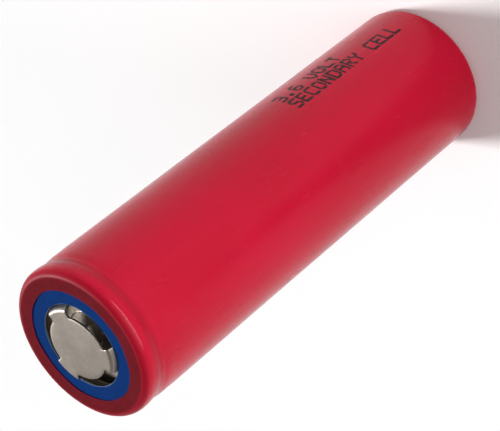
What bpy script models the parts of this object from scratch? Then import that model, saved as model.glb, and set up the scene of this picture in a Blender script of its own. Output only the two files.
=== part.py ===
"""Cylindrical lithium-ion cell of the 20700 size, as an assembly of separate pieces.

Frame: +Z runs along the cell's axis towards the positive end. The origin is the centre of
the standing rim, the flat underside of the sleeve's lip round the negative end.
Sizes are in metres. Every round piece shares the same facets, so nested pieces never cross.
"""

import math

import bmesh
import bpy

MM = 0.001

# The outside of the cell
CELL_RADIUS = 10.15 * MM
CELL_HEIGHT = 70.05 * MM
RIM_HEIGHT = 69.60 * MM
CLEARANCE = 0.04 * MM
FACETS = 36

# Sleeve: heat-shrink film that folds over both ends of the can
SLEEVE_WALL = 0.11 * MM
NEGATIVE_CORNER = 1.00 * MM
POSITIVE_CORNER = 0.90 * MM
NEGATIVE_LIP_RADIUS = 7.60 * MM
POSITIVE_LIP_RADIUS = 7.50 * MM
SAG_DEPTH = 0.14 * MM
SAG_HALF_HEIGHT = 1.20 * MM
SAG_STEPS = 6

# Can: deep-drawn steel cup with a rolled bead below the header and a crimped mouth
CAN_WALL = 0.22 * MM
CAN_RADIUS = CELL_RADIUS - SLEEVE_WALL - CLEARANCE
CAN_BASE = SLEEVE_WALL + CLEARANCE
BASE_DISC_RADIUS = 7.10 * MM
BASE_DISC_DROP = 0.05 * MM
BEAD_HEIGHT = 66.70 * MM
BEAD_DEPTH = 1.25 * MM
BEAD_HALF_GAP = 0.35 * MM
BEAD_SHOULDER = 0.60 * MM
CRIMP_EDGE_RADIUS = 6.50 * MM
CAN_BORE = CAN_RADIUS - CAN_WALL

# Washer that covers the crimp, held down by the sleeve's lip
WASHER_THICKNESS = 0.20 * MM
WASHER_BORE_RADIUS = 5.60 * MM
WASHER_RADIUS = 9.00 * MM
WASHER_TOP = RIM_HEIGHT - SLEEVE_WALL - CLEARANCE
CRIMP_TOP = WASHER_TOP - WASHER_THICKNESS - CLEARANCE

# Header: gasket, positive cap, vent disc and current interrupt device
GASKET_LIP = 0.40 * MM
GASKET_WALL = 0.50 * MM
GASKET_BORE_RADIUS = 6.30 * MM
GASKET_FOOT_BORE = 8.00 * MM
FLANGE_RADIUS = CAN_BORE - GASKET_WALL - 2 * CLEARANCE
CAP_SHEET = 0.30 * MM
CAP_FLANGE_TOP = CRIMP_TOP - CAN_WALL - GASKET_LIP - 2 * CLEARANCE
CAP_DISC_RADIUS = 4.20 * MM
CAP_LEG_REACH = 4.90 * MM
CAP_LEG_BEND = 0.50 * MM
CAP_LEG_FOOT = 6.10 * MM
CAP_LEGS = 3
CAP_LEG_ANGLE = 38.0
VENT_SHEET = 0.30 * MM
VENT_FLANGE_TOP = CAP_FLANGE_TOP - CAP_SHEET - CLEARANCE
VENT_WELL_DEPTH = 0.75 * MM
VENT_NIB_DEPTH = 1.15 * MM
VENT_WELL_RADIUS = 6.60 * MM
VENT_NIB_RADIUS = 1.20 * MM
VENT_SCORE_RADIUS = 3.40 * MM
VENT_SCORE_DEPTH = 0.12 * MM
PLATE_RADIUS = 5.60 * MM
PLATE_THICKNESS = 0.30 * MM
PLATE_HOLES = 6
PLATE_HOLE_RADIUS = 0.60 * MM
PLATE_HOLE_CIRCLE = 3.80 * MM
RING_WALL = 0.45 * MM

# Wound electrodes. One turn here stands for nearly three of the thinner ones in a real cell
ROLL_CORE_RADIUS = 1.60 * MM
ROLL_PITCH = 0.875 * MM
ROLL_TURNS = 7.875
ROLL_STEPS = 24
LAYER_GAP = 0.03 * MM
SEPARATOR_THICKNESS = 0.04 * MM
CATHODE_THICKNESS = 0.335 * MM
ANODE_THICKNESS = 0.34 * MM
FOIL_THICKNESS = 0.03 * MM
ROLL_BASE = 1.00 * MM
ROLL_TOP = 64.20 * MM
ANODE_INSET = 0.70 * MM
CATHODE_INSET = 1.20 * MM

# Insulating discs at the ends of the roll
DISC_HOLE_RADIUS = 1.60 * MM
UPPER_DISC_RADIUS = 9.25 * MM
UPPER_DISC_THICKNESS = 0.30 * MM
UPPER_DISC_BASE = 64.50 * MM
LOWER_DISC_RADIUS = 8.60 * MM
LOWER_DISC_THICKNESS = 0.22 * MM
GAS_HOLES = 4
GAS_HOLE_RADIUS = 0.80 * MM
GAS_HOLE_CIRCLE = 6.60 * MM

# Tabs that join the electrodes to the header and to the base of the can
TAB_THICKNESS = 0.12 * MM
POSITIVE_TAB_TURN = 4.5
POSITIVE_TAB_HALF_STEPS = 1
POSITIVE_TAB_FOOT = 20.00 * MM
POSITIVE_TAB_GAP = 0.025 * MM
POSITIVE_TAB_LIFT = 0.30 * MM
POSITIVE_TAB_BEND = 0.25 * MM
POSITIVE_TAB_FOLD = 3.50 * MM
POSITIVE_TAB_END = -2.00 * MM
TAB_SLOT_HALF_WIDTH = 1.90 * MM
TAB_SLOT_HALF_DEPTH = 0.60 * MM
NEGATIVE_TAB_THICKNESS = 0.10 * MM
NEGATIVE_TAB_WIDTH = 4.00 * MM
NEGATIVE_TAB_TOP = 55.00 * MM
NEGATIVE_TAB_TURN = 7.25
NEGATIVE_TAB_BEND = 0.35 * MM
NEGATIVE_TAB_END = -1.50 * MM
TAPE_THICKNESS = 0.05 * MM
TAPE_STEPS = 4
CLOSING_TAPE_WIDTH = 12.00 * MM
CLOSING_TAPE_BASES = {"closing_tape_lower": 6.00 * MM, "closing_tape_upper": 46.00 * MM}
TAB_TAPE_BASE = 50.00 * MM
NEGATIVE_TAB_TAPE_BASE = 1.50 * MM
NEGATIVE_TAB_TAPE_HEIGHT = 10.00 * MM
NEGATIVE_TAB_TAPE_MARGIN = 0.80 * MM
POSITIVE_TAPE_GAP = 0.05 * MM
CUTTER_HEIGHT = 2.00 * MM
WELD = 0.0005 * MM


# ---------------------------------------------------------------- materials

def material(name, colour, roughness, metallic=0.0):
    made = bpy.data.materials.new(name)
    made.use_nodes = True
    shader = made.node_tree.nodes["Principled BSDF"]
    shader.inputs["Base Color"].default_value = (*colour, 1.0)
    shader.inputs["Roughness"].default_value = roughness
    shader.inputs["Metallic"].default_value = metallic
    return made


# ------------------------------------------------------------ outline tools

def arc(centre, radius, start, end, steps):
    """Points of an arc in the (radius, height) plane, angles in degrees from outward."""
    points = []
    for i in range(steps + 1):
        angle = math.radians(start + (end - start) * i / steps)
        points.append((centre[0] + radius * math.cos(angle), centre[1] + radius * math.sin(angle)))
    return points


def without_repeats(path):
    """The path with a point dropped where it lies on the one before."""
    kept = [path[0]]
    for point in path[1:]:
        if math.dist(point, kept[-1]) > WELD:
            kept.append(point)
    return kept


def offset(path, distance):
    """The path moved to its left by a distance, with mitred corners."""
    moved = []
    for i, point in enumerate(path):
        before = path[i - 1] if i > 0 else None
        after = path[i + 1] if i + 1 < len(path) else None
        normals = []
        for a, b in ((before, point), (point, after)):
            if a is not None and b is not None:
                length = math.dist(a, b)
                normals.append((-(b[1] - a[1]) / length, (b[0] - a[0]) / length))
        x = sum(n[0] for n in normals)
        y = sum(n[1] for n in normals)
        scale = distance * len(normals) / (x * x + y * y)
        moved.append((point[0] + x * scale, point[1] + y * scale))
    return moved


def sheet_outline(path, thickness):
    """Closed outline of a sheet whose outer face follows the path and whose body is on its left."""
    path = without_repeats(path)
    return path + offset(path, thickness)[::-1]


# --------------------------------------------------------------- mesh tools

def finish(name, bm, skin, smooth=40.0):
    """Turns a bmesh into a named object with outward normals and smooth round faces."""
    bmesh.ops.recalc_face_normals(bm, faces=bm.faces)
    mesh = bpy.data.meshes.new(name)
    bm.to_mesh(mesh)
    bm.free()
    if skin:
        mesh.materials.append(skin)
    mesh.shade_smooth()
    mesh.set_sharp_from_angle(angle=math.radians(smooth))
    made = bpy.data.objects.new(name, mesh)
    bpy.context.scene.collection.objects.link(made)
    return made


def turned(name, outline, skin):
    """Spins an outline of (radius, height) points about the cell's axis.

    An outline whose ends lie on the axis makes a disc, and any other is closed into a ring."""
    bm = bmesh.new()
    points = [bm.verts.new((radius, 0.0, height)) for radius, height in outline]
    edges = [bm.edges.new(pair) for pair in zip(points, points[1:])]
    if outline[0][0] > WELD:
        edges.append(bm.edges.new((points[-1], points[0])))
    bmesh.ops.spin(
        bm, geom=points + edges, cent=(0, 0, 0), axis=(0, 0, 1),
        angle=2 * math.pi, steps=FACETS, use_merge=True,
    )
    bmesh.ops.remove_doubles(bm, verts=bm.verts, dist=WELD)
    return finish(name, bm, skin)


def extruded_band(name, near, far, direction, skin):
    """A band of quads between two edges with as many points, extruded along a direction."""
    bm = bmesh.new()
    rows = [[bm.verts.new(point) for point in edge] for edge in (near, far)]
    for i in range(len(near) - 1):
        bm.faces.new((rows[0][i], rows[0][i + 1], rows[1][i + 1], rows[1][i]))
    raised = bmesh.ops.extrude_face_region(bm, geom=list(bm.faces))["geom"]
    corners = [part for part in raised if isinstance(part, bmesh.types.BMVert)]
    bmesh.ops.translate(bm, verts=corners, vec=direction)
    return finish(name, bm, skin)


def cut(target, cutter):
    """Subtracts a cutter, which stays in the file as a wire guide."""
    cutter.hide_render = True
    cutter.display_type = "WIRE"
    modifier = target.modifiers.new("cut", "BOOLEAN")
    modifier.operation = "DIFFERENCE"
    modifier.object = cutter


def drill(name, circle, radius, count, phase):
    """A cutter of equally spaced round pins that stand through a disc at z = 0."""
    bm = bmesh.new()
    for i in range(count):
        angle = math.radians(phase) + 2 * math.pi * i / count
        pin = bmesh.ops.create_cone(
            bm, cap_ends=True, segments=16, radius1=radius, radius2=radius, depth=CUTTER_HEIGHT,
        )
        centre = (circle * math.cos(angle), circle * math.sin(angle), 0.0)
        bmesh.ops.translate(bm, verts=pin["verts"], vec=centre)
    return finish(name, bm, None)


def round_band(radius_in, radius_out, start, end, steps, height):
    """Inner and outer edge of a band that bends round the axis between two angles in degrees."""
    angles = [math.radians(start + (end - start) * i / steps) for i in range(steps + 1)]
    return [
        [(radius * math.cos(a), radius * math.sin(a), height) for a in angles]
        for radius in (radius_in, radius_out)
    ]


# ------------------------------------------------------------- outer pieces

def make_sleeve(skin):
    negative = (CELL_RADIUS - NEGATIVE_CORNER, NEGATIVE_CORNER)
    positive = (CELL_RADIUS - POSITIVE_CORNER, RIM_HEIGHT - POSITIVE_CORNER)
    sag = []
    for i in range(SAG_STEPS + 1):
        turn = math.pi * (2 * i / SAG_STEPS - 1)
        dip = SAG_DEPTH * (1 + math.cos(turn)) / 2
        sag.append((CELL_RADIUS - dip, BEAD_HEIGHT + SAG_HALF_HEIGHT * turn / math.pi))
    path = (
        [(NEGATIVE_LIP_RADIUS, 0.0)]
        + arc(negative, NEGATIVE_CORNER, -90, 0, 4)
        + sag
        + arc(positive, POSITIVE_CORNER, 0, 90, 4)
        + [(POSITIVE_LIP_RADIUS, RIM_HEIGHT)]
    )
    turned("sleeve", sheet_outline(path, SLEEVE_WALL), skin)


def make_can(skin):
    corner = NEGATIVE_CORNER - SLEEVE_WALL - CLEARANCE
    shoulder = CAN_RADIUS - BEAD_SHOULDER
    low = BEAD_HEIGHT - BEAD_HALF_GAP
    high = BEAD_HEIGHT + BEAD_HALF_GAP
    bead_floor = CAN_RADIUS - BEAD_DEPTH + BEAD_HALF_GAP
    crimp = POSITIVE_CORNER - SLEEVE_WALL - CLEARANCE
    path = (
        [
            (0.0, CAN_BASE - BASE_DISC_DROP),
            (BASE_DISC_RADIUS, CAN_BASE - BASE_DISC_DROP),
            (BASE_DISC_RADIUS + 2 * BASE_DISC_DROP, CAN_BASE),
        ]
        + arc((CAN_RADIUS - corner, CAN_BASE + corner), corner, -90, 0, 4)
        + arc((shoulder, low - BEAD_SHOULDER), BEAD_SHOULDER, 0, 90, 3)
        + arc((bead_floor, BEAD_HEIGHT), BEAD_HALF_GAP, 270, 90, 4)
        + arc((shoulder, high + BEAD_SHOULDER), BEAD_SHOULDER, -90, 0, 3)
        + arc((CAN_RADIUS - crimp, CRIMP_TOP - crimp), crimp, 0, 90, 4)
        + [(CRIMP_EDGE_RADIUS, CRIMP_TOP)]
    )
    turned("can", sheet_outline(path, CAN_WALL), skin)


def make_washer(skin):
    outline = [
        (WASHER_BORE_RADIUS, 0.0),
        (WASHER_RADIUS, 0.0),
        (WASHER_RADIUS, WASHER_THICKNESS),
        (WASHER_BORE_RADIUS, WASHER_THICKNESS),
    ]
    washer = turned("insulator_washer", outline, skin)
    washer.location.z = WASHER_TOP - WASHER_THICKNESS


# ------------------------------------------------------------------- header

def make_gasket(skin):
    """A ring of C section that grips the rims of the cap and the vent disc inside the crimp."""
    outer = CAN_BORE - CLEARANCE
    inner = outer - GASKET_WALL
    foot = BEAD_HEIGHT + BEAD_HALF_GAP + CAN_WALL + CLEARANCE
    top = CRIMP_TOP - CAN_WALL - CLEARANCE
    seat = VENT_FLANGE_TOP - VENT_SHEET - CLEARANCE
    bend = POSITIVE_CORNER - SLEEVE_WALL - CAN_WALL - 2 * CLEARANCE
    toe = BEAD_SHOULDER - CAN_WALL - CLEARANCE
    outline = (
        [(GASKET_FOOT_BORE, foot)]
        + arc((outer - toe, foot + toe), toe, -90, 0, 3)
        + arc((outer - bend, top - bend), bend, 0, 90, 3)
        + [
            (GASKET_BORE_RADIUS, top),
            (GASKET_BORE_RADIUS, CAP_FLANGE_TOP + CLEARANCE),
            (inner, CAP_FLANGE_TOP + CLEARANCE),
            (inner, seat),
            (GASKET_FOOT_BORE, seat),
        ]
    )
    turned("crimp_gasket", outline, skin)


def make_cap(skin):
    """The positive terminal: a raised disc on three bent legs that rise from a flat flange."""
    bend = (CAP_LEG_REACH, CELL_HEIGHT - CAP_LEG_BEND)
    slope = 70.0
    foot_bend = (CAP_LEG_FOOT, CAP_FLANGE_TOP + CAP_LEG_BEND)
    path = (
        [(FLANGE_RADIUS, CAP_FLANGE_TOP)]
        + arc(foot_bend, CAP_LEG_BEND, 270, 270 - slope, 3)
        + arc(bend, CAP_LEG_BEND, 90 - slope, 90, 3)
        + [(CAP_DISC_RADIUS, CELL_HEIGHT), (0.0, CELL_HEIGHT)]
    )
    outline = sheet_outline(path, CAP_SHEET)
    cap = turned("positive_cap", outline, skin)
    gap = 360.0 / CAP_LEGS
    height = 3 * (CELL_HEIGHT - CAP_FLANGE_TOP)
    base = CAP_FLANGE_TOP - CAP_SHEET - (CELL_HEIGHT - CAP_FLANGE_TOP)
    for i in range(CAP_LEGS):
        start = gap * i + CAP_LEG_ANGLE / 2
        end = gap * (i + 1) - CAP_LEG_ANGLE / 2
        near, far = round_band(CAP_DISC_RADIUS, CAP_LEG_FOOT, start, end, 8, base)
        cut(cap, extruded_band(f"cap_window_cutter_{i + 1}", near, far, (0, 0, height), None))


def make_vent_disc(skin):
    """Thin disc that domes down to the weld plate and tears open along its score if gas builds up."""
    top = VENT_FLANGE_TOP
    well = top - VENT_WELL_DEPTH
    nib = top - VENT_NIB_DEPTH
    path = [
        (FLANGE_RADIUS, top),
        (VENT_WELL_RADIUS + VENT_WELL_DEPTH, top),
        (VENT_WELL_RADIUS, well),
        (VENT_SCORE_RADIUS + VENT_SCORE_DEPTH, well),
        (VENT_NIB_RADIUS + (well - nib), well),
        (VENT_NIB_RADIUS, nib),
        (0.0, nib),
    ]
    outline = sheet_outline(path, VENT_SHEET)
    score = [
        (VENT_SCORE_RADIUS + VENT_SCORE_DEPTH, well),
        (VENT_SCORE_RADIUS, well - VENT_SCORE_DEPTH),
        (VENT_SCORE_RADIUS - VENT_SCORE_DEPTH, well),
    ]
    turned("vent_disc", outline[:3] + score + outline[4:], skin)


def plate_top():
    """Height of the weld plate's top face, just below the vent disc's nib."""
    return VENT_FLANGE_TOP - VENT_NIB_DEPTH - VENT_SHEET - CLEARANCE


def make_cid_insulator(skin):
    """Ring that holds the weld plate's rim off the vent disc."""
    top = VENT_FLANGE_TOP - VENT_WELL_DEPTH - VENT_SHEET - CLEARANCE
    bore = PLATE_RADIUS + CLEARANCE
    outline = [
        (bore, plate_top() - PLATE_THICKNESS),
        (bore + RING_WALL, plate_top() - PLATE_THICKNESS),
        (bore + RING_WALL, top),
        (bore - 2 * RING_WALL, top),
        (bore - 2 * RING_WALL, plate_top() + CLEARANCE),
        (bore, plate_top() + CLEARANCE),
    ]
    turned("cid_insulator", outline, skin)


def make_cid_plate(skin):
    """Perforated plate that the positive tab is welded to, thinned at its middle to break away."""
    thin = PLATE_THICKNESS / 3
    outline = [
        (0.0, 0.0),
        (PLATE_RADIUS, 0.0),
        (PLATE_RADIUS, PLATE_THICKNESS),
        (VENT_NIB_RADIUS + 2 * thin, PLATE_THICKNESS),
        (VENT_NIB_RADIUS + thin, PLATE_THICKNESS - thin),
        (0.0, PLATE_THICKNESS - thin),
    ]
    plate = turned("cid_plate", outline, skin)
    pins = drill("cid_plate_drill", PLATE_HOLE_CIRCLE, PLATE_HOLE_RADIUS, PLATE_HOLES, 30.0)
    for piece in (plate, pins):
        piece.location.z = plate_top() - PLATE_THICKNESS
    cut(plate, pins)


# ---------------------------------------------------------- wound electrodes

def roll_radius(turn):
    """Radius at which a turn of the roll begins. A turn holds four layers, one pitch in all."""
    return ROLL_CORE_RADIUS + ROLL_PITCH * turn


def layer_offsets():
    """Inner and outer offset of each layer within one pitch, from the core outwards."""
    layers = {}
    at = 0.0
    for name, thickness in (
        ("separator_inner", SEPARATOR_THICKNESS),
        ("cathode", CATHODE_THICKNESS),
        ("separator_outer", SEPARATOR_THICKNESS),
        ("anode", ANODE_THICKNESS),
    ):
        layers[name] = (at, at + thickness)
        at += thickness + LAYER_GAP
    return layers


def spiral_point(step, away, height):
    """Point of the roll at a whole number of steps from its start, a distance away outwards."""
    turn = step / ROLL_STEPS
    radius = roll_radius(turn) + away
    angle = 2 * math.pi * turn
    return (radius * math.cos(angle), radius * math.sin(angle), height)


def make_wound_strip(name, first, last, outer_of, height_inset, skin):
    """A strip wound from its first to its last step. outer_of gives its outer face at a step."""
    inner = layer_offsets()[name][0]
    base = ROLL_BASE + height_inset
    steps = range(first, last + 1)
    near = [spiral_point(step, inner, base) for step in steps]
    far = [spiral_point(step, outer_of(step), base) for step in steps]
    rise = ROLL_TOP - ROLL_BASE - 2 * height_inset
    extruded_band(name, near, far, (0, 0, rise), skin)


def make_roll(skins):
    """Cathode, anode and two separators, wound together. The cathode is bare at its tab."""
    layers = layer_offsets()
    last = round(ROLL_TURNS * ROLL_STEPS)
    tab_step = round(POSITIVE_TAB_TURN * ROLL_STEPS)
    bare = layers["cathode"][0] + FOIL_THICKNESS

    def cathode_face(step):
        near_tab = abs(step - tab_step) <= POSITIVE_TAB_HALF_STEPS + 1
        return bare if near_tab else layers["cathode"][1]

    for name in ("separator_inner", "separator_outer"):
        make_wound_strip(name, 0, last, lambda step, n=name: layers[n][1], 0.0, skins["film"])
    make_wound_strip(
        "anode", ROLL_STEPS // 2, last, lambda step: layers["anode"][1], ANODE_INSET, skins["anode"]
    )
    make_wound_strip(
        "cathode", ROLL_STEPS, last - ROLL_STEPS // 2, cathode_face, CATHODE_INSET, skins["cathode"]
    )


def make_closing_tapes(skin):
    """Two tapes that run over the roll's free end and on down to the turn beneath it."""
    last = round(ROLL_TURNS * ROLL_STEPS)
    below = last - ROLL_STEPS
    steps = list(range(last - TAPE_STEPS, last + 1))
    steps += list(range(below + 2, below + 2 + TAPE_STEPS))
    for name, base in CLOSING_TAPE_BASES.items():
        near = [spiral_point(step, ROLL_PITCH, base) for step in steps]
        far = [spiral_point(step, ROLL_PITCH + TAPE_THICKNESS, base) for step in steps]
        extruded_band(name, near, far, (0, 0, CLOSING_TAPE_WIDTH), skin)


# -------------------------------------------------------------- tabs, discs

def positive_tab_steps():
    middle = round(POSITIVE_TAB_TURN * ROLL_STEPS)
    return range(middle - POSITIVE_TAB_HALF_STEPS, middle + POSITIVE_TAB_HALF_STEPS + 1)


def make_positive_tab(skin):
    """Aluminium strip: flat against the cathode, then folded in an S up to the weld plate."""
    foil = layer_offsets()["cathode"][0] + FOIL_THICKNESS
    offset_mid = foil + POSITIVE_TAB_GAP + TAB_THICKNESS / 2
    reach = roll_radius(POSITIVE_TAB_TURN) + offset_mid
    across = [spiral_point(step, offset_mid, 0.0) for step in positive_tab_steps()]
    lower_run = UPPER_DISC_BASE + UPPER_DISC_THICKNESS + POSITIVE_TAB_LIFT
    upper_run = plate_top() - PLATE_THICKNESS - CLEARANCE - TAB_THICKNESS / 2
    fold = (upper_run - lower_run) / 2
    bend = (-reach + POSITIVE_TAB_BEND, lower_run - POSITIVE_TAB_BEND)
    profile = (
        arc(bend, POSITIVE_TAB_BEND, 180, 90, 3)
        + arc((POSITIVE_TAB_FOLD, lower_run + fold), fold, -90, 90, 6)
        + [(POSITIVE_TAB_END, upper_run)]
    )
    rows = [
        [(x, y, height) for x, y, _ in across] for height in (POSITIVE_TAB_FOOT, ROLL_TOP)
    ]
    rows += [[(x, y, height) for _, y, _ in across] for x, height in profile]
    bm = bmesh.new()
    grid = [[bm.verts.new(point) for point in row] for row in rows]
    for low, high in zip(grid, grid[1:]):
        for i in range(len(low) - 1):
            bm.faces.new((low[i], low[i + 1], high[i + 1], high[i]))
    tab = finish("positive_tab", bm, skin)
    modifier = tab.modifiers.new("thickness", "SOLIDIFY")
    modifier.thickness = TAB_THICKNESS
    modifier.offset = 0.0
    modifier.use_even_offset = True


def make_positive_tab_tape(skin):
    """Tape over the positive tab where it leaves the roll."""
    foil = layer_offsets()["cathode"][0] + FOIL_THICKNESS
    inner = foil + TAB_THICKNESS + POSITIVE_TAPE_GAP
    outer = inner + TAPE_THICKNESS
    near = [spiral_point(step, inner, TAB_TAPE_BASE) for step in positive_tab_steps()]
    far = [spiral_point(step, outer, TAB_TAPE_BASE) for step in positive_tab_steps()]
    extruded_band("positive_tab_tape", near, far, (0, 0, ROLL_TOP - TAB_TAPE_BASE), skin)


def make_negative_tab(skin):
    """Nickel strip down the outside of the roll and under it to the middle of the can's base."""
    face = roll_radius(NEGATIVE_TAB_TURN) + ROLL_PITCH + NEGATIVE_TAB_THICKNESS
    run = CAN_BASE + CAN_WALL + 2 * CLEARANCE
    bend = (face - NEGATIVE_TAB_BEND, run + NEGATIVE_TAB_BEND)
    path = (
        [(NEGATIVE_TAB_END, run)]
        + arc(bend, NEGATIVE_TAB_BEND, -90, 0, 4)
        + [(face, NEGATIVE_TAB_TOP)]
    )
    inner = offset(path, NEGATIVE_TAB_THICKNESS)
    half = NEGATIVE_TAB_WIDTH / 2
    near, far = ([(x, -half, z) for x, z in edge] for edge in (path, inner))
    tab = extruded_band("negative_tab", near, far, (0, NEGATIVE_TAB_WIDTH, 0), skin)
    tab.rotation_euler.z = 2 * math.pi * NEGATIVE_TAB_TURN


def make_negative_tab_tape(skin):
    """Tape over the foot of the negative tab, where it turns under the roll."""
    inner = roll_radius(NEGATIVE_TAB_TURN) + ROLL_PITCH + NEGATIVE_TAB_THICKNESS + LAYER_GAP
    half = NEGATIVE_TAB_WIDTH / 2 + NEGATIVE_TAB_TAPE_MARGIN
    edges = []
    for x in (inner, inner + TAPE_THICKNESS):
        edges.append([(x, -half, NEGATIVE_TAB_TAPE_BASE), (x, half, NEGATIVE_TAB_TAPE_BASE)])
    tape = extruded_band("negative_tab_tape", *edges, (0, 0, NEGATIVE_TAB_TAPE_HEIGHT), skin)
    tape.rotation_euler.z = 2 * math.pi * NEGATIVE_TAB_TURN


def ring_disc(name, radius, thickness, skin):
    outline = [
        (DISC_HOLE_RADIUS, 0.0),
        (radius, 0.0),
        (radius, thickness),
        (DISC_HOLE_RADIUS, thickness),
    ]
    return turned(name, outline, skin)


def make_upper_insulator(skin):
    disc = ring_disc("upper_insulator", UPPER_DISC_RADIUS, UPPER_DISC_THICKNESS, skin)
    pins = drill("upper_insulator_drill", GAS_HOLE_CIRCLE, GAS_HOLE_RADIUS, GAS_HOLES, 45.0)
    reach = roll_radius(POSITIVE_TAB_TURN)
    near, far = (
        [(x, side * TAB_SLOT_HALF_WIDTH, -CUTTER_HEIGHT / 2) for side in (-1, 1)]
        for x in (-reach - TAB_SLOT_HALF_DEPTH, -reach + TAB_SLOT_HALF_DEPTH)
    )
    slot = extruded_band("upper_insulator_slot", near, far, (0, 0, CUTTER_HEIGHT), None)
    for piece in (disc, pins, slot):
        piece.location.z = UPPER_DISC_BASE
    cut(disc, pins)
    cut(disc, slot)


def make_lower_insulator(skin):
    disc = ring_disc("lower_insulator", LOWER_DISC_RADIUS, LOWER_DISC_THICKNESS, skin)
    pins = drill("lower_insulator_drill", GAS_HOLE_CIRCLE, GAS_HOLE_RADIUS, GAS_HOLES, 70.0)
    base = CAN_BASE + CAN_WALL + 2 * CLEARANCE + NEGATIVE_TAB_THICKNESS + CLEARANCE
    for piece in (disc, pins):
        piece.location.z = base
    cut(disc, pins)


def main():
    for thing in list(bpy.data.objects):
        bpy.data.objects.remove(thing)
    film = material("separator film", (0.85, 0.86, 0.84), 0.5)
    aluminium = material("aluminium", (0.78, 0.79, 0.80), 0.35, 1.0)
    nickel = material("nickel-plated steel", (0.60, 0.57, 0.52), 0.28, 1.0)
    board = material("insulating board", (0.80, 0.78, 0.70), 0.7)
    tape = material("tape", (0.75, 0.60, 0.20), 0.4)
    make_sleeve(material("red shrink sleeve", (0.58, 0.005, 0.03), 0.35))
    make_washer(material("blue washer", (0.005, 0.07, 0.30), 0.5))
    make_can(nickel)
    make_cap(nickel)
    make_gasket(material("gasket", (0.80, 0.80, 0.76), 0.5))
    make_vent_disc(aluminium)
    make_cid_insulator(board)
    make_cid_plate(aluminium)
    make_roll({
        "film": film,
        "anode": material("graphite on copper", (0.05, 0.05, 0.055), 0.6),
        "cathode": material("oxide on aluminium", (0.09, 0.09, 0.10), 0.7),
    })
    make_closing_tapes(tape)
    make_positive_tab(aluminium)
    make_positive_tab_tape(tape)
    make_negative_tab(nickel)
    make_negative_tab_tape(tape)
    make_upper_insulator(board)
    make_lower_insulator(board)


main()
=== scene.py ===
"""Looks of the cylindrical cell: sleeve, print, washer, cap and can in detail, plus the studio."""
import math
import random

import bmesh
import bpy
from mathutils import Matrix, Vector


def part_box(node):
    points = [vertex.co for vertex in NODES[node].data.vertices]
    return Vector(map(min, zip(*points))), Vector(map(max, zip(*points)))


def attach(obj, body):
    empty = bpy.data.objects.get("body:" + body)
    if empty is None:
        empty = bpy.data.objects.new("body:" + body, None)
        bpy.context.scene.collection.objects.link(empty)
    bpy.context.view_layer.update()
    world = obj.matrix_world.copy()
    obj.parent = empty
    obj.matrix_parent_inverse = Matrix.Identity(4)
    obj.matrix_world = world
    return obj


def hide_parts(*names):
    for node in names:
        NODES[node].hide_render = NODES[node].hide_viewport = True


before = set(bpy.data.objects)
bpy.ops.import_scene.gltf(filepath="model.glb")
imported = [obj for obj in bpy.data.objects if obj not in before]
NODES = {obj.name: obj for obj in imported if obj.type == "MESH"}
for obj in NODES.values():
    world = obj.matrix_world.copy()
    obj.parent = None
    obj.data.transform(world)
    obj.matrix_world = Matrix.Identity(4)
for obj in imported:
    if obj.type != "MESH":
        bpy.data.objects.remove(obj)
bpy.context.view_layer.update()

MM = 0.001
RNG = random.Random(20700)

_, SLEEVE_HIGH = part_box("sleeve")
CAP_LOW, CAP_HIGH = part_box("positive_cap")
WASHER_LOW, WASHER_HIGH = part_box("insulator_washer")
CAN_LOW, CAN_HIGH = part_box("can")

CELL_RADIUS = SLEEVE_HIGH.x / MM
RIM = SLEEVE_HIGH.z / MM
CAP_TOP = CAP_HIGH.z / MM
CAP_FLANGE_RADIUS = CAP_HIGH.x / MM
WASHER_TOP = WASHER_HIGH.z / MM
WASHER_RADIUS = WASHER_HIGH.x / MM
CAN_RADIUS = CAN_HIGH.x / MM
CAN_BASE = CAN_LOW.z / MM

# Millimetres, for shapes that the frame doesn't give
SLEEVE_WALL = 0.11
NEGATIVE_CORNER = 1.00
NEGATIVE_LIP = 7.60
POSITIVE_CORNER = 1.30      # height of the rolled corner at the rim
POSITIVE_FLAT = 0.66        # its width, as a share of its height
POSITIVE_LIP = 7.50
BEAD_HEIGHT = 66.70
WASHER_HOLE = 5.60

FACETS = 192


# ------------------------------------------------------------ node helpers

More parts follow.
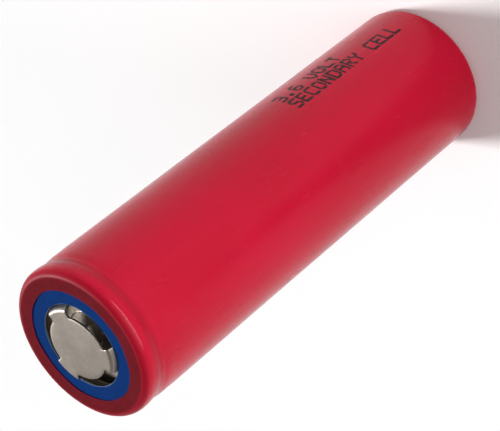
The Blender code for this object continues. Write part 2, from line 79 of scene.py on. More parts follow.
class Shader:
    """A Principled material built up node by node, in the object's own coordinates."""

    def __init__(self, name):
        self.material = bpy.data.materials.new(name)
        self.material.use_nodes = True
        self.tree = self.material.node_tree
        self.bsdf = self.tree.nodes["Principled BSDF"]
        self.coords = self.tree.nodes.new("ShaderNodeTexCoord").outputs["Object"]
        self.split = self.tree.nodes.new("ShaderNodeSeparateXYZ")
        self.link(self.coords, self.split.inputs[0])

    def link(self, source, target):
        self.tree.links.new(source, target)

    def set(self, **values):
        for name, value in values.items():
            self.bsdf.inputs[name.replace("_", " ")].default_value = value

    def feed(self, node, slot, value):
        if isinstance(value, bpy.types.NodeSocket):
            self.link(value, node.inputs[slot])
        elif isinstance(value, tuple) and len(value) == 3:
            node.inputs[slot].default_value = (*value, 1.0)
        else:
            node.inputs[slot].default_value = value

    def math(self, operation, a, b=0.0):
        node = self.tree.nodes.new("ShaderNodeMath")
        node.operation = operation
        self.feed(node, 0, a)
        self.feed(node, 1, b)
        return node.outputs[0]

    def between(self, value, low, high, out_low=0.0, out_high=1.0):
        """The value mapped smoothly from low..high to out_low..out_high, held at both ends."""
        node = self.tree.nodes.new("ShaderNodeMapRange")
        node.interpolation_type = "SMOOTHSTEP"
        for slot, number in enumerate((value, low, high, out_low, out_high)):
            self.feed(node, slot, number)
        return node.outputs[0]

    def band(self, value, rise, fall, peak=1.0):
        """The peak within a band of the value and zero outside it, with soft edges."""
        up = self.between(value, *rise)
        down = self.between(value, *fall, peak, 0.0)
        return self.math("MULTIPLY", up, down)

    def mix(self, factor, a, b):
        node = self.tree.nodes.new("ShaderNodeMix")
        node.data_type = "RGBA"
        for slot, value in ((0, factor), (6, a), (7, b)):
            self.feed(node, slot, value)
        return node.outputs[2]

    def radius(self):
        """Distance from the cell's axis, in millimetres."""
        x, y = self.split.outputs[0], self.split.outputs[1]
        square = self.math("ADD", self.math("MULTIPLY", x, x), self.math("MULTIPLY", y, y))
        return self.math("MULTIPLY", self.math("SQRT", square), 1 / MM)

    def height(self):
        """Height above the standing rim, in millimetres."""
        return self.math("MULTIPLY", self.split.outputs[2], 1 / MM)

    def noise(self, size_mm, stretch=(1.0, 1.0, 1.0), detail=3.0, roughness=0.55, offset=0.0):
        """Noise with features of about that size, longer along an axis whose stretch is larger."""
        mapping = self.tree.nodes.new("ShaderNodeMapping")
        self.link(self.coords, mapping.inputs[0])
        mapping.inputs["Location"].default_value = (offset, offset * 1.7, offset * 0.6)
        scale = 1 / (size_mm * MM)
        mapping.inputs["Scale"].default_value = tuple(scale / s for s in stretch)
        node = self.tree.nodes.new("ShaderNodeTexNoise")
        node.inputs["Scale"].default_value = 1.0
        node.inputs["Detail"].default_value = detail
        node.inputs["Roughness"].default_value = roughness
        self.link(mapping.outputs[0], node.inputs["Vector"])
        return node.outputs["Fac"]

    def bump(self, height, depth_mm):
        """Adds a relief on top of those already there."""
        node = self.tree.nodes.new("ShaderNodeBump")
        node.inputs["Strength"].default_value = 1.0
        node.inputs["Distance"].default_value = depth_mm * MM
        self.link(height, node.inputs["Height"])
        before = self.bsdf.inputs["Normal"].links
        if before:
            self.link(before[0].from_socket, node.inputs["Normal"])
        self.link(node.outputs[0], self.bsdf.inputs["Normal"])

    def colour(self, socket):
        self.link(socket, self.bsdf.inputs["Base Color"])

    def rough(self, socket):
        self.link(socket, self.bsdf.inputs["Roughness"])


# --------------------------------------------------------------- materials

FILM_RED = (0.460, 0.0009, 0.0235)
FILM_DEEP = (0.426, 0.0007, 0.0185)
FILM_STREAK = (0.510, 0.009, 0.038)
# Painted shade: darker film colour over the bead groove
FILM_GROOVE_SHADE = (0.310, 0.0005, 0.0140)
# Painted shade: darker film colour on the up-facing rolled rim
FILM_RIM_SHADE = (0.345, 0.0005, 0.0150)
FILM_OVER_WASHER = ((0.132, 0.0008, 0.0060), (0.168, 0.0012, 0.0080))
FILM_LIP_EDGE = (0.150, 0.004, 0.022)


def sleeve_colour(s, radius, height):
    """Red over steel, with painted shade over the groove and on the rolled rim, and maroon over the
    blue washer.
    """
    cloud = s.noise(9.0, stretch=(1, 1, 2.5), detail=4)
    base = s.mix(s.between(cloud, 0.35, 0.68), FILM_DEEP, FILM_RED)
    streak = s.noise(0.9, stretch=(1, 1, 40), detail=3, offset=3.0)
    base = s.mix(s.between(streak, 0.52, 0.75, 0.0, 0.16), base, FILM_STREAK)
    # Painted shade: a darker band of film where the groove's upper wall faces down
    groove_shade = s.band(height, (BEAD_HEIGHT - 0.40, BEAD_HEIGHT + 0.30),
                      (BEAD_HEIGHT + 0.80, BEAD_HEIGHT + 1.60), peak=0.75)
    base = s.mix(groove_shade, base, FILM_GROOVE_SHADE)
    # Painted shade: the rolled rim darkened where it faces up
    rim_shade = s.between(height, RIM - 0.75, RIM - 0.30)
    base = s.mix(rim_shade, base, FILM_RIM_SHADE)
    on_top = s.between(height, RIM - 0.60, RIM - 0.25)
    over_washer = s.between(radius, WASHER_RADIUS - 0.10, WASHER_RADIUS + 0.70, 1.0, 0.0)
    fibre = s.noise(0.7, detail=4, offset=8.0)
    maroon = s.mix(s.between(fibre, 0.3, 0.7), *FILM_OVER_WASHER)
    base = s.mix(s.math("MULTIPLY", on_top, over_washer), base, maroon)
    lip_edge = s.between(radius, POSITIVE_LIP + 0.06, POSITIVE_LIP + 0.16, 1.0, 0.0)
    return s.mix(s.math("MULTIPLY", lip_edge, on_top), base, FILM_LIP_EDGE)


def sleeve_roughness(s, radius, height):
    """Hazy and lightly scuffed, duller on the rolled corner and glossier just below it."""
    haze = s.noise(3.5, stretch=(1, 1, 3), detail=4, offset=1.0)
    scuff = s.noise(0.60, stretch=(1, 1, 14), detail=2, offset=5.0)
    rough = s.between(haze, 0.3, 0.7, 0.21, 0.28)
    rough = s.math("ADD", rough, s.between(scuff, 0.55, 0.85, 0.0, 0.03))
    rough = s.math("MULTIPLY", rough, s.between(height, RIM - 0.35, RIM - 0.15, 1.0, 0.80))
    rolled = s.math("MULTIPLY", s.between(height, RIM - 0.90, RIM - 0.40),
                    s.between(radius, CELL_RADIUS - 0.95, CELL_RADIUS - 0.78))
    rough = s.math("ADD", rough, s.math("MULTIPLY", rolled, 0.30))
    shoulder = s.band(height, (RIM - 1.60, RIM - 1.10), (RIM - 0.60, RIM - 0.20))
    return s.math("SUBTRACT", rough, s.math("MULTIPLY", shoulder, 0.08))


def sleeve_material():
    """Red shrink film. It is opaque here: what lies under it is painted on by position, and so is
    painted shade over the groove and the rolled rim.
    """
    s = Shader("red_shrink_film")
    s.set(Specular_IOR_Level=0.15)
    radius = s.radius()
    height = s.height()
    s.colour(sleeve_colour(s, radius, height))
    s.rough(sleeve_roughness(s, radius, height))
    s.bump(s.noise(2.4, stretch=(1, 1, 3), detail=1.5, offset=2.0), 0.010)
    s.bump(s.noise(0.45, detail=1, offset=4.0), 0.0006)
    return s.material


def washer_material():
    """Blue fibre sheet, with a painted highlight along its punched inner edge."""
    s = Shader("blue_fibre_sheet")
    s.set(Specular_IOR_Level=0.02)
    fibre = s.noise(0.35, detail=5, roughness=0.65)
    cloud = s.noise(2.6, detail=3, offset=6.0)
    base = s.mix(s.between(fibre, 0.3, 0.7), (0.0006, 0.027, 0.140), (0.0012, 0.034, 0.172))
    base = s.mix(s.between(cloud, 0.4, 0.7, 0.0, 0.35), base, (0.0015, 0.036, 0.190))
    # Painted highlight: a pale bluish-grey band along the hole's cut edge
    cut_edge_highlight = s.between(s.radius(), WASHER_HOLE + 0.02, WASHER_HOLE + 0.09, 1.0, 0.0)
    base = s.mix(s.math("MULTIPLY", cut_edge_highlight, 0.85), base, (0.230, 0.300, 0.380))
    s.colour(base)
    s.rough(s.between(fibre, 0.25, 0.75, 0.40, 0.55))
    s.bump(fibre, 0.006)
    s.bump(s.noise(0.09, detail=2, offset=9.0), 0.0015)
    return s.material


def nickel_material(name, light, dark, rough_low, rough_high, turned=False):
    """Nickel-plated steel with fine drawing lines, faint stains and small pits."""
    s = Shader(name)
    s.set(Metallic=1.0)
    cloud = s.noise(2.2, detail=5, roughness=0.6)
    base = s.mix(s.between(cloud, 0.32, 0.68), dark, light)
    stain = s.noise(0.8, detail=4, offset=11.0)
    warm = tuple(c * k for c, k in zip(dark, (0.93, 0.86, 0.76)))
    base = s.mix(s.between(stain, 0.60, 0.78, 0.0, 0.5), base, warm)
    speckle = s.noise(0.22, detail=2, offset=17.0)
    base = s.mix(s.between(speckle, 0.35, 0.65, 0.0, 0.35), base, tuple(c * 0.80 for c in dark))
    pit = s.noise(0.16, detail=1, offset=13.0)
    pits = s.between(pit, 0.76, 0.82)
    base = s.mix(s.math("MULTIPLY", pits, 0.55), base, tuple(c * 0.35 for c in dark))
    s.colour(base)
    if turned:
        line_pitch = 0.16
        wave = s.math("SINE", s.math("MULTIPLY", s.radius(), 2 * math.pi / line_pitch))
        lines = s.math("MULTIPLY", wave, s.noise(0.5, detail=3, offset=15.0))
        s.bump(lines, 0.0016)
    grain = s.noise(0.07, stretch=(9, 1, 1), detail=2, offset=7.0)
    rough = s.between(cloud, 0.3, 0.7, rough_low, rough_high)
    s.rough(s.math("ADD", rough, s.between(grain, 0.4, 0.8, 0.0, 0.03)))
    s.bump(grain, 0.0006)
    s.bump(s.math("SUBTRACT", 1.0, pits), 0.002)
    return s.material


def plain_material(name, light, dark, size_mm, rough_low, rough_high, metallic=0.0,
                   stretch=(1, 1, 1), relief_mm=0.004):
    """A material with two-tone mottling, varied roughness and a fine relief."""
    s = Shader(name)
    s.set(Metallic=metallic)
    cloud = s.noise(size_mm, stretch=stretch, detail=5, roughness=0.6)
    s.colour(s.mix(s.between(cloud, 0.3, 0.7), dark, light))
    fine = s.noise(size_mm / 6, stretch=stretch, detail=3, offset=2.0)
    s.rough(s.between(fine, 0.3, 0.7, rough_low, rough_high))
    s.bump(fine, relief_mm)
    return s.material


def ink_material():
    """Dull black marking ink, thin enough in places for the red film to tint it."""
    s = Shader("marking_ink")
    s.set(Specular_IOR_Level=0.2)
    patch = s.noise(0.35, detail=4)
    s.colour(s.mix(s.between(patch, 0.35, 0.7), (0.030, 0.0030, 0.0075), (0.010, 0.0020, 0.0035)))
    s.rough(s.between(patch, 0.3, 0.7, 0.45, 0.65))
    s.bump(patch, 0.002)
    return s.material


# ------------------------------------------------------------ mesh helpers

def put(name, mesh, skin, replaces=()):
    """Links a finished mesh as a piece of the cell."""
    made = bpy.data.objects.new(name, mesh)
    bpy.context.scene.collection.objects.link(made)
    mesh.materials.clear()
    mesh.materials.append(skin)
    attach(made, "root")
    if replaces:
        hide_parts(*replaces)


def tidy(mesh, sharp_degrees=40.0):
    """Joins doubled points, turns the faces outwards and smooths all but the sharp edges."""
    bm = bmesh.new()
    bm.from_mesh(mesh)
    bmesh.ops.remove_doubles(bm, verts=bm.verts, dist=1e-7)
    bmesh.ops.recalc_face_normals(bm, faces=bm.faces)
    bm.to_mesh(mesh)
    bm.free()
    mesh.shade_smooth()
    mesh.set_sharp_from_angle(angle=math.radians(sharp_degrees))
    return mesh


def arc(cx, cz, radius, start, end, steps):
    """Points along an arc, from one angle in degrees to another."""
    points = []
    for i in range(steps + 1):
        a = math.radians(start + (end - start) * i / steps)
        points.append((cx + radius * math.cos(a), cz + radius * math.sin(a)))
    return points


def offset(path, distance):
    """The path moved to its left by a distance, with mitred corners."""
    moved = []
    for i, point in enumerate(path):
        normals = []
        for a, b in ((path[i - 1] if i else None, point),
                     (point, path[i + 1] if i + 1 < len(path) else None)):
            if a is not None and b is not None:
                length = math.dist(a, b)
                if length > 1e-9:
                    normals.append((-(b[1] - a[1]) / length, (b[0] - a[0]) / length))
        x = sum(n[0] for n in normals)
        y = sum(n[1] for n in normals)
        scale = distance * len(normals) / (x * x + y * y)
        moved.append((point[0] + x * scale, point[1] + y * scale))
    return moved


def spread(path, step):
    """The path with points added so that none are further apart than a step."""
    dense = [path[0]]
    for a, b in zip(path, path[1:]):
        count = max(1, math.ceil(math.dist(a, b) / step))
        for i in range(1, count + 1):
            dense.append((a[0] + (b[0] - a[0]) * i / count, a[1] + (b[1] - a[1]) * i / count))
    return dense


def lathe(name, outline, shape=None, facets=FACETS):
    """Spins a closed outline in millimetres round the axis. shape(r, z, angle) may move a point."""
    on_axis = outline[0][0] < 1e-6
    verts = []
    for k in range(facets):
        a = 2 * math.pi * k / facets
        for r, z in outline:
            if shape:
                r, z = shape(r, z, a)
            verts.append((r * MM * math.cos(a), r * MM * math.sin(a), z * MM))
    n = len(outline)
    last = n - 1 if on_axis else n
    faces = []
    for k in range(facets):
        here, there = k * n, (k + 1) % facets * n
        for i in range(last):
            j = (i + 1) % n
            faces.append((here + i, there + i, there + j, here + j))
    mesh = bpy.data.meshes.new(name)
    mesh.from_pydata(verts, [], faces)
    bm = bmesh.new()
    bm.from_mesh(mesh)
    bmesh.ops.remove_doubles(bm, verts=bm.verts, dist=1e-7)
    bmesh.ops.dissolve_degenerate(bm, edges=bm.edges, dist=1e-8)
    bm.to_mesh(mesh)
    bm.free()
    return tidy(mesh)


def rounded(inner, outer, z_low, z_high, radius):
    """Outline of a flat ring with four rounded edges."""
    r = radius
    return (
        arc(inner + r, z_low + r, r, 180, 270, 3)
        + arc(outer - r, z_low + r, r, 270, 360, 3)
        + arc(outer - r, z_high - r, r, 0, 90, 3)
        + arc(inner + r, z_high - r, r, 90, 180, 3)
    )


# ------------------------------------------------------------------ pieces

SAG_DEPTH = 0.17
SAG_ABOVE, SAG_BELOW = 0.74, 1.05
RIPPLE_DEPTH, RIPPLE_HEIGHT, RIPPLE_WIDTH = 0.020, 64.6, 0.8
LIP_ROOT = 9.0
END_BAND = 0.35
CREASE_ANGLE, CREASE_DEPTH, CREASE_WIDTH, CREASE_END = 241, 0.022, 0.10, 1.5


def sag(z):
    """How far the film dips into the can's bead at a height, with a faint ripple below it."""
    width = SAG_ABOVE if z > BEAD_HEIGHT else SAG_BELOW
    main = SAG_DEPTH * math.exp(-((z - BEAD_HEIGHT) / width) ** 2)
    ripple = RIPPLE_DEPTH * math.exp(-((z - RIPPLE_HEIGHT) / RIPPLE_WIDTH) ** 2)
    return main + ripple


def sleeve_shape(r, z, a):
    """Shrink marks: uneven lips, puckers round the corners, a slack barrel and one crease."""
    if z > RIM - END_BAND and r < LIP_ROOT:
        reach = (LIP_ROOT - r) / 1.5
        wave = 0.07 * math.sin(2 * a + 0.7) + 0.04 * math.sin(5 * a + 2.0) + 0.02 * math.sin(11 * a)
        r += wave * reach
        z -= reach * (0.022 + 0.012 * math.sin(7 * a + 1.0))
    elif z < END_BAND and r < LIP_ROOT:
        reach = (LIP_ROOT - r) / 1.4
        r += reach * (0.10 * math.sin(3 * a + 0.4) + 0.05 * math.sin(8 * a + 1.0))
    near_rim = math.exp(-((z - (RIM - 0.4)) / 0.5) ** 2)
    near_foot = math.exp(-((z - 0.4) / 0.5) ** 2)
    pucker = 0.5 + 0.5 * math.sin(46 * a + 3 * math.sin(5 * a))
    r -= (near_rim * 0.010 + near_foot * 0.016) * pucker
    slack = 0.006 * (1 + math.sin(3 * a + z * 0.09)) + 0.004 * (1 + math.sin(7 * a - z * 0.23))
    from_crease = math.remainder(a - math.radians(CREASE_ANGLE), 2 * math.pi) * CELL_RADIUS
    crease = 0.0
    if CREASE_END < z < RIM - CREASE_END:
        crease = CREASE_DEPTH * math.exp(-((from_crease / CREASE_WIDTH) ** 2))
    return r - slack - crease, z


def make_sleeve(skin):
    """The film as a closed sheet, folded over both ends, with a finer mesh round the groove."""
    low = arc(CELL_RADIUS - NEGATIVE_CORNER, NEGATIVE_CORNER, NEGATIVE_CORNER, -90, 0, 12)
    high = [
        (CELL_RADIUS + (r - CELL_RADIUS) * POSITIVE_FLAT, z)
        for r, z in arc(CELL_RADIUS - POSITIVE_CORNER, RIM - POSITIVE_CORNER, POSITIVE_CORNER,
                        0, 90, 14)
    ]
    groove_start = (CELL_RADIUS, 62.0)
    path = spread([(NEGATIVE_LIP, 0.0), low[0]], 0.3)[:-1] + low
    path += spread([low[-1], groove_start], 1.5)[1:]
    groove = spread([groove_start, high[0]], 0.12)[1:-1]
    path += [(CELL_RADIUS - sag(z), z) for _, z in groove] + high
    path += spread([high[-1], (POSITIVE_LIP, RIM)], 0.25)[1:]
    inner = offset(path, SLEEVE_WALL)
    clear_of_can = CAN_RADIUS + 0.01
    inner = [(max(r, clear_of_can) if 1.2 < z < RIM - 1.2 else r, z) for r, z in inner]
    mesh = lathe("sleeve_film", path + inner[::-1], sleeve_shape, facets=288)
    put("sleeve_film", mesh, skin, ("sleeve",))


def make_washer(skin):
    """The washer, dished and slightly wavy towards its hole."""
    low = WASHER_LOW.z / MM

    def shape(r, z, a):
        lean = (WASHER_RADIUS - r) / (WASHER_RADIUS - WASHER_HOLE)
        z -= 0.030 * lean * (1 + 0.5 * math.sin(2 * a + 1.0))
        return r + 0.015 * math.sin(9 * a) * lean, max(z, low)

    outline = rounded(WASHER_HOLE + 0.01, WASHER_RADIUS, low, WASHER_TOP, 0.05)
    dense = spread(outline + outline[:1], 0.35)[:-1]
    mesh = lathe("washer_ring", dense, shape)
    put("washer_ring", mesh, skin, ("insulator_washer",))


DISC_RADIUS = 4.20
DISC_DISH = 0.020
LEG_REACH = 4.90
LEG_BEND = 0.50
LEG_FOOT = 6.10
CAP_SHEET = 0.30
FILLET = 0.42

# Degrees round the cap
LEGS = 3
LEG_SECTOR = 360.0 / LEGS
LEG_HALF = 19.0
WINDOW = LEG_SECTOR - 2 * LEG_HALF
NEAR_LEG = (0.5, 1.4, 2.6, 4.0, 5.8)


def cap_profile():
    """Points of the cap's top face, from the axis to the flange's rim, and their run lengths."""
    flange = CAP_LOW.z / MM + CAP_SHEET
    path = [(LEG_REACH, CAP_TOP)]
    path += arc(LEG_REACH, CAP_TOP - LEG_BEND, LEG_BEND, 90, 20, 7)[1:]
    path += arc(LEG_FOOT, flange + LEG_BEND, LEG_BEND, 200, 270, 7)
    path += [(7.2, flange), (CAP_FLANGE_RADIUS, flange)]
    runs = [LEG_REACH]
    for a, b in zip(path, path[1:]):
        runs.append(runs[-1] + math.dist(a, b))
    return [(0.0, CAP_TOP)] + path, [0.0] + runs


def cap_columns():
    """Angles round the cap, each with its distance from the nearest leg, or None on a leg."""
    across_leg = [(-LEG_HALF + 2 * LEG_HALF * i / 12, None) for i in range(13)]
    last = NEAR_LEG[-1]
    inside = list(NEAR_LEG) + [last + (WINDOW - 2 * last) * i / 22 for i in range(1, 22)]
    inside += [WINDOW - d for d in reversed(NEAR_LEG)]
    across_window = [(LEG_HALF + d, min(d, WINDOW - d)) for d in inside]
    return [(leg * LEG_SECTOR + a, d) for leg in range(LEGS) for a, d in across_leg + across_window]


def fillet(degrees, radius, away):
    """How far a rounded corner still stands out, at some degrees from a leg's side."""
    t = math.radians(degrees) * radius
    if t >= away:
        return 0.0
    return away - math.sqrt(max(0.0, away * away - (away - t) ** 2))


def cap_surface():
    """Points and faces of the cap's top face: a disc, three legs and a flange, with windows."""
    path, runs = cap_profile()

    def at(run):
        for i in range(len(runs) - 1):
            if run <= runs[i + 1] + 1e-9:
                t = (run - runs[i]) / (runs[i + 1] - runs[i])
                a, b = path[i], path[i + 1]
                return a[0] + (b[0] - a[0]) * t, a[1] + (b[1] - a[1]) * t
        return path[-1]

    foot = runs[-3]
    disc_rows = [1.2, 2.4, 3.3, 3.8]
    leg_rows = [4.75, *runs[1:-3]]
    flange_rows = runs[-2:]
    gap = len(disc_rows)
    tail = len(flange_rows) + 1

    verts = [(0.0, 0.0, CAP_TOP * MM)]
    grid = []
    for degrees, d in cap_columns():
        a = math.radians(degrees)
        edge = DISC_RADIUS + (FILLET if d is None else fillet(d, DISC_RADIUS, FILLET))
        start = foot - (FILLET if d is None else fillet(d, LEG_FOOT, FILLET))
        rows = disc_rows + [edge]
        if d is None:
            rows += [run for run in leg_rows if edge + 0.05 < run < start - 0.03]
        rows += [start] + flange_rows
        column = []
        for run in rows:
            r, z = at(run)
            z -= DISC_DISH * (min(run, DISC_RADIUS) / DISC_RADIUS) ** 2
            column.append(len(verts))
            verts.append((r * MM * math.cos(a), r * MM * math.sin(a), z * MM))
        grid.append((column, d is None))

    faces = []
    for k, (a, a_on_leg) in enumerate(grid):
        b, b_on_leg = grid[(k + 1) % len(grid)]
        faces.append((0, a[0], b[0]))
        if a_on_leg and b_on_leg:
            for i in range(len(a) - 1):
                faces.append((a[i], a[i + 1], b[i + 1], b[i]))
        else:
            for i in range(gap):
                faces.append((a[i], a[i + 1], b[i + 1], b[i]))
            for i in range(1, tail):
                faces.append((a[-i - 1], a[-i], b[-i], b[-i - 1]))
    return verts, faces


def make_cap(skin):
    """The cap's top face, given its sheet's thickness and rounded edges."""
    verts, faces = cap_surface()
    mesh = bpy.data.meshes.new("cap_sheet")
    mesh.from_pydata(verts, [], faces)
    bm = bmesh.new()
    bm.from_mesh(mesh)
    bmesh.ops.recalc_face_normals(bm, faces=bm.faces)
    if sum(f.normal.z * f.calc_area() for f in bm.faces) < 0:
        bmesh.ops.reverse_faces(bm, faces=bm.faces)
    bm.to_mesh(mesh)
    bm.free()
    draft = bpy.data.objects.new("cap_draft", mesh)
    bpy.context.scene.collection.objects.link(draft)
    sheet = draft.modifiers.new("sheet", "SOLIDIFY")
    sheet.thickness = (CAP_SHEET - 0.02) * MM
    sheet.offset = -1.0
    sheet.use_even_offset = True
    edge = draft.modifiers.new("edges", "BEVEL")
    edge.width = 0.055 * MM
    edge.segments = 3
    edge.limit_method = "ANGLE"
    edge.angle_limit = math.radians(55)
    bpy.context.view_layer.update()
    final = bpy.data.meshes.new_from_object(
        draft.evaluated_get(bpy.context.evaluated_depsgraph_get())
    )
    bpy.data.objects.remove(draft)
    final.name = "cap_metal"
    put("cap_metal", tidy(final, 50.0), skin, ("positive_cap",))


CAN_WALL = 0.22
CAN_CORNER = 0.85
CAN_SHOULDER = 0.60
CAN_CRIMP = 0.75
CAN_MOUTH = 6.5
BASE_DISC = 7.05
BASE_STEP = ((0.07, 0.008), (0.15, 0.042), (0.23, 0.05))     # out from the disc, and up
DIMPLE_PLACE, DIMPLE_DEPTH, DIMPLE_RADIUS = (0.95, -0.10), 0.030, 0.36


def make_can(skin):
    """The drawn can. The photo doesn't show its base: its step and weld dimples are guesses."""
    path = spread([(0.0, CAN_BASE), (BASE_DISC, CAN_BASE)], 0.22)
    path += [(BASE_DISC + out, CAN_BASE + up) for out, up in BASE_STEP]
    corner_z = CAN_BASE + BASE_STEP[-1][1] + CAN_CORNER
    path += arc(CAN_RADIUS - CAN_CORNER, corner_z, CAN_CORNER, -90, 0, 8)
    shoulder = CAN_RADIUS - CAN_SHOULDER
    path += arc(shoulder, BEAD_HEIGHT - 0.95, CAN_SHOULDER, 0, 90, 6)
    path += arc(CAN_RADIUS - 0.90, BEAD_HEIGHT, 0.35, 270, 90, 8)
    path += arc(shoulder, BEAD_HEIGHT + 0.95, CAN_SHOULDER, -90, 0, 6)
    top = CAN_HIGH.z / MM
    path += arc(CAN_RADIUS - CAN_CRIMP, top - CAN_CRIMP, CAN_CRIMP, 0, 90, 6)
    path += [(CAN_MOUTH, top)]
    inner = offset(path, CAN_WALL)
    inner[0] = (0.0, inner[0][1])

    def shape(r, z, a):
        if z < CAN_BASE + 0.03 and r < 3.0:
            x, y = r * math.cos(a), r * math.sin(a)
            for side in (-1, 1):
                away = math.hypot(x - DIMPLE_PLACE[0] * side, y - DIMPLE_PLACE[1] * side)
                z += DIMPLE_DEPTH * math.exp(-((away / DIMPLE_RADIUS) ** 4))
        return r, z

    mesh = lathe("can_shell", path + inner[::-1], shape)
    put("can_shell", mesh, skin, ("can",))


GLYPHS = {
    "A": "01110 10001 10001 11111 10001 10001 10001",
    "C": "01111 10000 10000 10000 10000 10000 01111",
    "D": "11110 10001 10001 10001 10001 10001 11110",
    "E": "11111 10000 10000 11110 10000 10000 11111",
    "L": "10000 10000 10000 10000 10000 10000 11111",
    "N": "10001 11001 11001 10101 10011 10011 10001",
    "O": "01110 10001 10001 10001 10001 10001 01110",
    "R": "11110 10001 10001 11110 10100 10010 10001",
    "S": "01111 10000 10000 01110 00001 00001 11110",
    "T": "11111 00100 00100 00100 00100 00100 00100",
    "V": "10001 10001 10001 10001 10001 01010 00100",
    "Y": "10001 10001 01010 00100 00100 00100 00100",
    "3": "11110 00001 00001 01110 00001 00001 11110",
    "6": "01110 10000 10000 11110 10001 10001 01110",
    ".": "00000 00000 00000 00000 00000 01100 01100",
    " ": "00000 00000 00000 00000 00000 00000 00000",
}
PRINT_LINES = (("SECONDARY CELL", 322.4, 27.5), ("3.6 VOLT", 336.8, 27.5))    # text, angle, height
LETTER_PITCH = 1.64
DOT_ALONG = 0.273
DOT_UP = 1.72
DOT_RADIUS = 0.190
DOT_SIDES = 10
DOT_PROFILE = ((1.0, -0.030), (0.97, 0.004), (0.70, 0.008))     # share of its radius, lift


def print_dots():
    """Height, angle and radius of each dot, a little uneven."""
    for text, base_angle, start in PRINT_LINES:
        for index, letter in enumerate(text):
            rows = GLYPHS[letter].split()
            for row, bits in enumerate(rows):
                for column, bit in enumerate(bits):
                    if bit == "1":
                        z = start - LETTER_PITCH * index - DOT_ALONG * column
                        z += RNG.uniform(-0.018, 0.018)
                        angle = base_angle + DOT_UP * (len(rows) - 1 - row)
                        angle += RNG.uniform(-0.10, 0.10)
                        yield z, angle, DOT_RADIUS * RNG.uniform(0.90, 1.10)


def add_dot(bm, z, angle, size):
    """One low dot that follows the film, longer round the cell than along it."""
    rings = []
    for scale, lift in DOT_PROFILE:
        ring = []
        for i in range(DOT_SIDES):
            t = 2 * math.pi * i / DOT_SIDES
            along = size * scale * math.cos(t) * 1.08
            around = size * scale * math.sin(t) * 1.25
            a = math.radians(angle) + around / CELL_RADIUS
            r, _ = sleeve_shape(CELL_RADIUS, z + along, a)
            r += lift
            spot = (r * math.cos(a) * MM, r * math.sin(a) * MM, (z + along) * MM)
            ring.append(bm.verts.new(spot))
        rings.append(ring)
    bm.faces.new(rings[0][::-1])
    bm.faces.new(rings[-1])
    for low, high in zip(rings, rings[1:]):
        for i in range(DOT_SIDES):
            j = (i + 1) % DOT_SIDES
            bm.faces.new((low[i], low[j], high[j], high[i]))


def make_print(skin):
    """Generic dot-matrix marking, as thin dots of dried ink on the film."""
    bm = bmesh.new()
    for z, angle, size in print_dots():
        add_dot(bm, z, angle, size)
    bmesh.ops.recalc_face_normals(bm, faces=bm.faces)
    mesh = bpy.data.meshes.new("print_ink")
    bm.to_mesh(mesh)
    bm.free()
    mesh.shade_smooth()
    mesh.set_sharp_from_angle(angle=math.radians(35))
    put("print_ink", mesh, skin)


# ------------------------------------------------------------------ studio

def broad_light(name, azimuth, elevation, strength, width_degrees):
    """A distant soft light, even over the whole floor; its width softens the shadows."""
    light = bpy.data.lights.new(name, "SUN")
    light.energy = strength
    light.angle = math.radians(width_degrees)
    made = bpy.data.objects.new(name, light)
    a, e = math.radians(azimuth), math.radians(elevation)
    away = Vector((math.cos(a) * math.cos(e), math.sin(a) * math.cos(e), math.sin(e)))
    made.rotation_euler = away.to_track_quat("Z", "Y").to_euler()
    bpy.context.scene.collection.objects.link(made)


def strip_light(name, azimuth, distance, height, lean_degrees, size, power):
    """A low soft strip before the cell, leaning back so it lights the film and not the floor."""
    light = bpy.data.lights.new(name, "AREA")
    light.shape = "RECTANGLE"
    light.size, light.size_y = size
    light.energy = power
    made = bpy.data.objects.new(name, light)
    a, e = math.radians(azimuth), math.radians(lean_degrees)
    behind = Vector((math.cos(a) * math.cos(e), math.sin(a) * math.cos(e), -math.sin(e)))
    made.location = (distance * math.cos(a), distance * math.sin(a), height)
    made.rotation_euler = behind.to_track_quat("Z", "Y").to_euler()
    made.visible_camera = False
    bpy.context.scene.collection.objects.link(made)


def make_world():
    """Pale surround: white near the horizon, greyer overhead."""
    world = bpy.data.worlds.new("studio")
    bpy.context.scene.world = world
    world.use_nodes = True
    tree = world.node_tree
    coords = tree.nodes.new("ShaderNodeTexCoord")
    split = tree.nodes.new("ShaderNodeSeparateXYZ")
    tree.links.new(coords.outputs["Generated"], split.inputs[0])
    ramp = tree.nodes.new("ShaderNodeValToRGB")
    stops = ((0.00, 1.00), (0.09, 0.60), (0.40, 0.32), (0.75, 0.29), (1.00, 0.17))
    while len(ramp.color_ramp.elements) < len(stops):
        ramp.color_ramp.elements.new(0.5)
    for element, (position, grey) in zip(ramp.color_ramp.elements, stops):
        element.position = position
        element.color = (grey, grey, grey, 1)
    tree.links.new(split.outputs[2], ramp.inputs[0])
    background = tree.nodes["Background"]
    tree.links.new(ramp.outputs[0], background.inputs["Color"])
    background.inputs["Strength"].default_value = 1.00


def make_floor():
    """A plain white floor, large enough to meet the surround without a visible edge."""
    mesh = bpy.data.meshes.new("floor")
    half = 20.0
    mesh.from_pydata([(-half, -half, 0), (half, -half, 0), (half, half, 0), (-half, half, 0)],
                     [], [(0, 1, 2, 3)])
    floor = bpy.data.objects.new("floor", mesh)
    bpy.context.scene.collection.objects.link(floor)
    s = Shader("white_floor")
    s.set(Specular_IOR_Level=0.1, Roughness=0.9)
    s.colour(s.mix(s.between(s.noise(60.0), 0.3, 0.7), (0.95, 0.95, 0.95), (0.97, 0.97, 0.97)))
    mesh.materials.append(s.material)


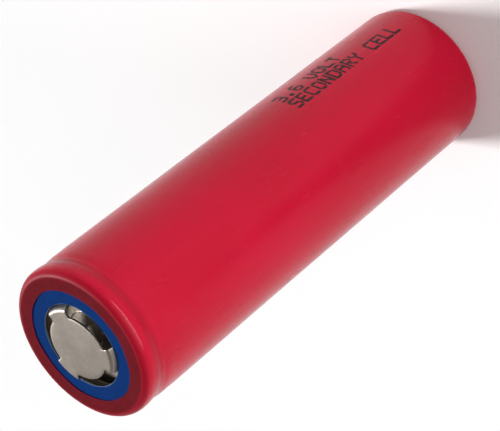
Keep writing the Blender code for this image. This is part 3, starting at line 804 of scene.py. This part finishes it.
def make_camera():
    """The photograph's angle: from above the positive end, close in, and rolled."""
    elevation, roll, distance = 38.0686, -128.9169, 0.23552
    slide_x, slide_y = -0.00172917, -0.00212029
    azimuth = 15.0
    data = bpy.data.cameras.new("camera")
    data.lens = 133.85
    data.sensor_width = 36.0
    data.clip_start, data.clip_end = 0.01, 50.0
    camera = bpy.data.objects.new("camera", data)
    a, e, turn = math.radians(azimuth), math.radians(elevation), math.radians(roll)
    back = Vector((math.sin(a) * math.cos(e), -math.cos(a) * math.cos(e), math.sin(e)))
    level = (-back).cross(Vector((0, 0, 1))).normalized()
    upright = level.cross(-back)
    right = level * math.cos(turn) + upright * math.sin(turn)
    up = upright * math.cos(turn) - level * math.sin(turn)
    aim = Vector((0, 0, RIM * MM / 2))
    spot = aim + back * distance + right * slide_x + up * slide_y
    axes = Matrix((right, up, back)).transposed().to_4x4()
    camera.matrix_world = Matrix.Translation(spot) @ axes
    bpy.context.scene.collection.objects.link(camera)
    bpy.context.scene.camera = camera


def paint(node, skin):
    """Gives a CAD piece its detailed material."""
    NODES[node].data.materials.clear()
    NODES[node].data.materials.append(skin)


def make_studio():
    make_camera()
    make_world()
    make_floor()
    broad_light("key_light", azimuth=75, elevation=39, strength=3.2, width_degrees=13.0)
    broad_light("front_fill", azimuth=262, elevation=20, strength=0.85, width_degrees=40.0)
    strip_light("low_strip", azimuth=270, distance=0.25, height=0.052, lean_degrees=60,
                size=(0.32, 0.044), power=0.60)


def make_outside():
    """The pieces that can be seen from outside, remade in detail."""
    make_sleeve(sleeve_material())
    make_print(ink_material())
    make_washer(washer_material())
    make_cap(nickel_material("nickel_cap", (0.488, 0.429, 0.371), (0.450, 0.394, 0.339),
                             0.31, 0.335))
    make_can(nickel_material("nickel_can", (0.62, 0.60, 0.57), (0.53, 0.51, 0.48), 0.22, 0.34,
                             turned=True))


def paint_inside():
    """Materials for the CAD pieces that stay as they are."""
    gasket = plain_material("gasket_polymer", (0.30, 0.28, 0.25), (0.20, 0.19, 0.17), 1.5, 0.4, 0.6)
    # Painted shade: the aluminium under the cap is darkened and browned to the shade beneath it
    aluminium = plain_material("aluminium_sheet", (0.50, 0.45, 0.39), (0.33, 0.28, 0.22), 1.2,
                               0.34, 0.44, metallic=1.0, relief_mm=0.0005)
    board = plain_material("insulating_board", (0.78, 0.75, 0.66), (0.66, 0.63, 0.54), 1.0,
                           0.6, 0.8)
    film = plain_material("separator_film", (0.88, 0.88, 0.86), (0.80, 0.81, 0.80), 1.0, 0.4, 0.6,
                          stretch=(1, 1, 8))
    graphite = plain_material("graphite_coat", (0.060, 0.060, 0.066), (0.035, 0.035, 0.040), 0.8,
                              0.5, 0.7, relief_mm=0.006)
    oxide = plain_material("oxide_coat", (0.085, 0.083, 0.090), (0.055, 0.054, 0.060), 0.8,
                           0.6, 0.8, relief_mm=0.006)
    tape = plain_material("amber_tape", (0.72, 0.45, 0.10), (0.60, 0.34, 0.06), 2.0, 0.25, 0.4)
    strip = plain_material("nickel_strip", (0.64, 0.61, 0.56), (0.52, 0.49, 0.45), 1.0, 0.25, 0.4,
                           metallic=1.0, stretch=(1, 1, 6), relief_mm=0.002)
    skins = {
        gasket: ("crimp_gasket", "cid_insulator"),
        aluminium: ("vent_disc", "cid_plate", "positive_tab"),
        board: ("upper_insulator", "lower_insulator"),
        film: ("separator_inner", "separator_outer"),
        graphite: ("anode",),
        oxide: ("cathode",),
        tape: ("closing_tape_lower", "closing_tape_upper", "positive_tab_tape",
               "negative_tab_tape"),
        strip: ("negative_tab",),
    }
    for skin, nodes in skins.items():
        for node in nodes:
            paint(node, skin)


def main():
    make_studio()
    make_outside()
    paint_inside()
    bpy.context.scene.view_settings.view_transform = "Standard"

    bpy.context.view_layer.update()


main()
